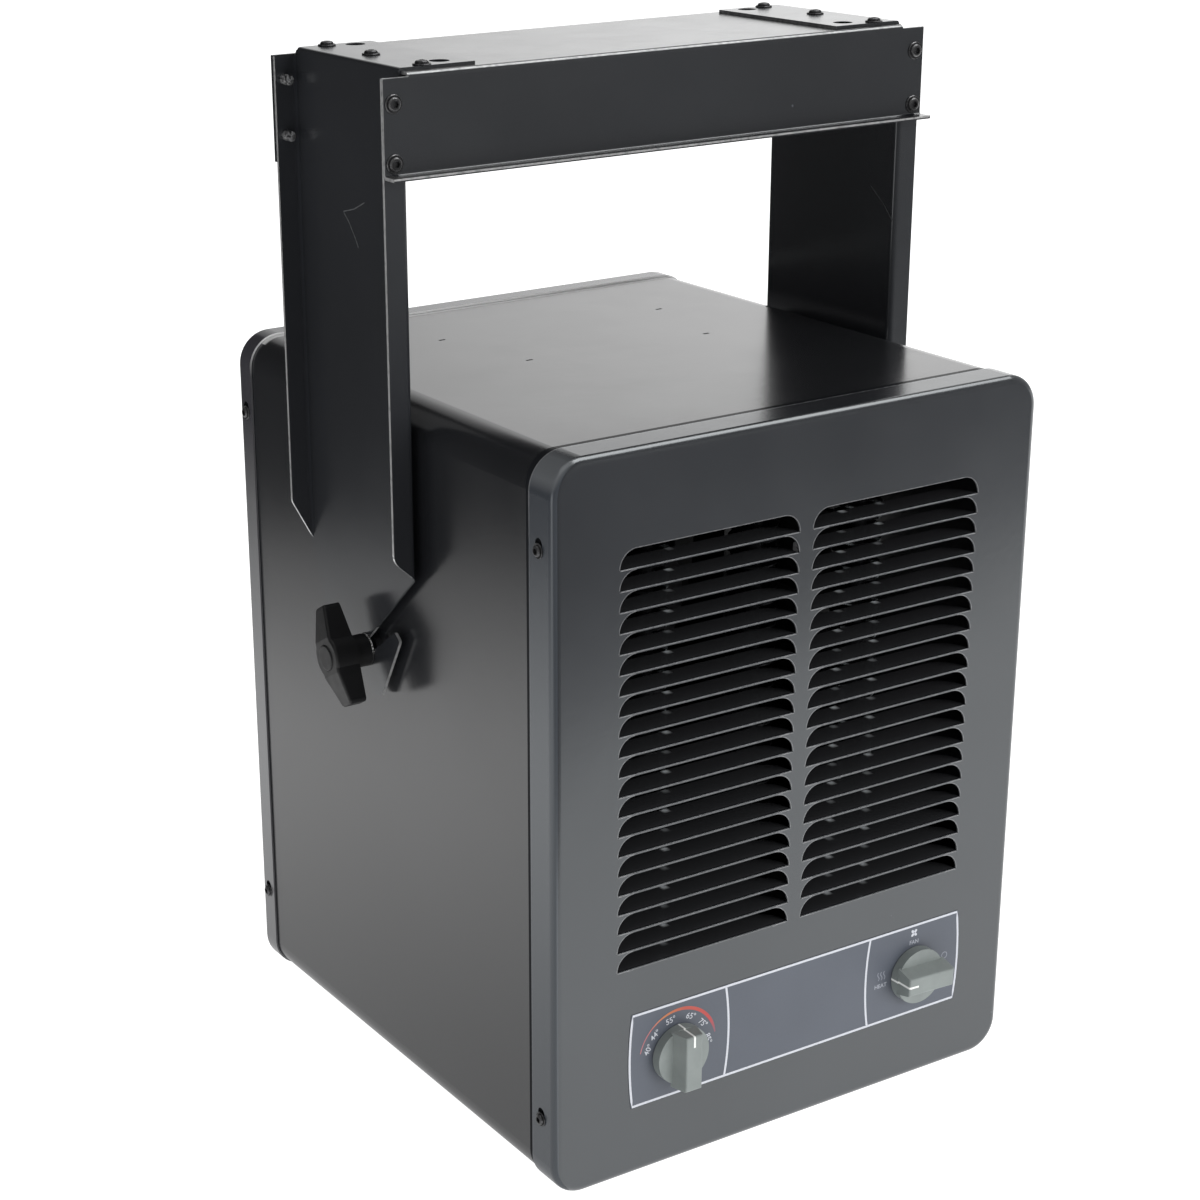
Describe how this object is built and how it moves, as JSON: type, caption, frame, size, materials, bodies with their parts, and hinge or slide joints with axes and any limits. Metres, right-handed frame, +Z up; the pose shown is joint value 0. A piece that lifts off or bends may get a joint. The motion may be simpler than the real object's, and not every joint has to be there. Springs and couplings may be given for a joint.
{
  "type": "unit heater",
  "caption": "Compact electric unit heater: louvred graphite sheet-metal cabinet with thermostat and mode dials, hung in a two-arm ceiling bracket that tilts on clamp knobs.",
  "frame": {"origin": "bottom centre of the bounding box, on the plane the cabinet stands on", "axes": "+Z up, +X to the right seen from the front, front face towards -Y"},
  "size_m": [0.3344, 0.314, 0.5222],
  "materials": {
    "graphite_paint": "semi-gloss powder coat",
    "black_screws": "black oxide",
    "label": "matte printed",
    "control_knobs": "satin moulded",
    "clamp_plastic": "satin moulded",
    "zinc_steel": "zinc plated",
    "dark_steel": "dark plated",
    "galvanised": "galvanised",
    "motor_steel": "painted",
    "fan_aluminium": "mill",
    "element_steel": "satin",
    "ceramic_white": "glazed",
    "control_plastic": "moulded",
    "copper": "bright",
    "black_rubber": "moulded"
  },
  "bodies": {
    "cabinet": {"wrapper": "graphite_paint", "front_cover": "graphite_paint", "rear_cover": "graphite_paint", "front_cover_screws": "black_screws", "rear_cover_screws": "black_screws", "control_label": "label", "pivot_bush_left": "zinc_steel", "pivot_plate_left": "zinc_steel", "pivot_nut_left": "zinc_steel", "pivot_bush_right": "zinc_steel", "pivot_plate_right": "zinc_steel", "pivot_nut_right": "zinc_steel", "motor_screws": "zinc_steel", "terminal_screws": "zinc_steel", "control_nuts": "zinc_steel", "motor_bearings": "zinc_steel", "element_terminals": "zinc_steel", "control_tray": "galvanised", "fan_shroud": "galvanised", "motor_bracket": "galvanised", "element_rack_lower": "galvanised", "element_rack_upper": "galvanised", "motor_stator": "motor_steel", "motor_front_bell": "motor_steel", "motor_rear_bell": "motor_steel", "heating_element_left": "element_steel", "heating_element_center": "element_steel", "heating_element_right": "element_steel", "element_insulators": "ceramic_white", "thermostat_body": "control_plastic", "selector_switch_body": "control_plastic", "heater_relay": "control_plastic", "terminal_block": "control_plastic", "high_limit_switch": "control_plastic", "thermostat_bulb": "copper", "thermostat_capillary": "copper", "ground_stud": "copper", "cable_bush": "black_rubber"},
    "bracket": {"bracket_arm_left": "graphite_paint", "bracket_arm_right": "graphite_paint", "bracket_beam": "graphite_paint", "bracket_front_screws": "black_screws", "bracket_rear_screws": "black_screws", "bracket_top_screws": "black_screws"},
    "clamp_left": {"clamp_knob_left": "clamp_plastic", "knob_cap_left": "clamp_plastic", "clamp_stud_left": "zinc_steel", "clamp_washer_left": "zinc_steel"},
    "clamp_right": {"clamp_knob_right": "clamp_plastic", "knob_cap_right": "clamp_plastic", "clamp_stud_right": "zinc_steel", "clamp_washer_right": "zinc_steel"},
    "thermostat_dial": {"thermostat_knob": "control_knobs", "thermostat_shaft": "zinc_steel"},
    "selector_dial": {"selector_knob": "control_knobs", "selector_shaft": "zinc_steel"},
    "fan": {"fan_blades": "fan_aluminium", "fan_hub": "fan_aluminium", "motor_shaft": "zinc_steel", "motor_rotor": "motor_steel"}
  },
  "joints": [
    {"name": "bracket_tilt", "type": "hinge", "parent": "cabinet", "child": "bracket", "pos_m": [0, 0.0193, 0.2327], "axis": [1, 0, 0], "range_deg": [-90, 90]},
    {"name": "clamp_left_turn", "type": "hinge", "parent": "cabinet", "child": "clamp_left", "pos_m": [-0.15, 0.0193, 0.2327], "axis": [-1, 0, 0], "range_deg": [0, 270]},
    {"name": "clamp_right_turn", "type": "hinge", "parent": "cabinet", "child": "clamp_right", "pos_m": [0.15, 0.0193, 0.2327], "axis": [1, 0, 0], "range_deg": [0, 270]},
    {"name": "thermostat_turn", "type": "hinge", "parent": "cabinet", "child": "thermostat_dial", "pos_m": [-0.0691, -0.15, 0.0604], "axis": [0, 1, 0], "range_deg": [-70, 86]},
    {"name": "selector_turn", "type": "hinge", "parent": "cabinet", "child": "selector_dial", "pos_m": [0.0794, -0.15, 0.0603], "axis": [0, 1, 0], "range_deg": [0, 180]},
    {"name": "fan_spin", "type": "hinge", "parent": "cabinet", "child": "fan", "pos_m": [0, 0.084, 0.23], "axis": [0, 1, 0], "continuous": true}
  ]
}
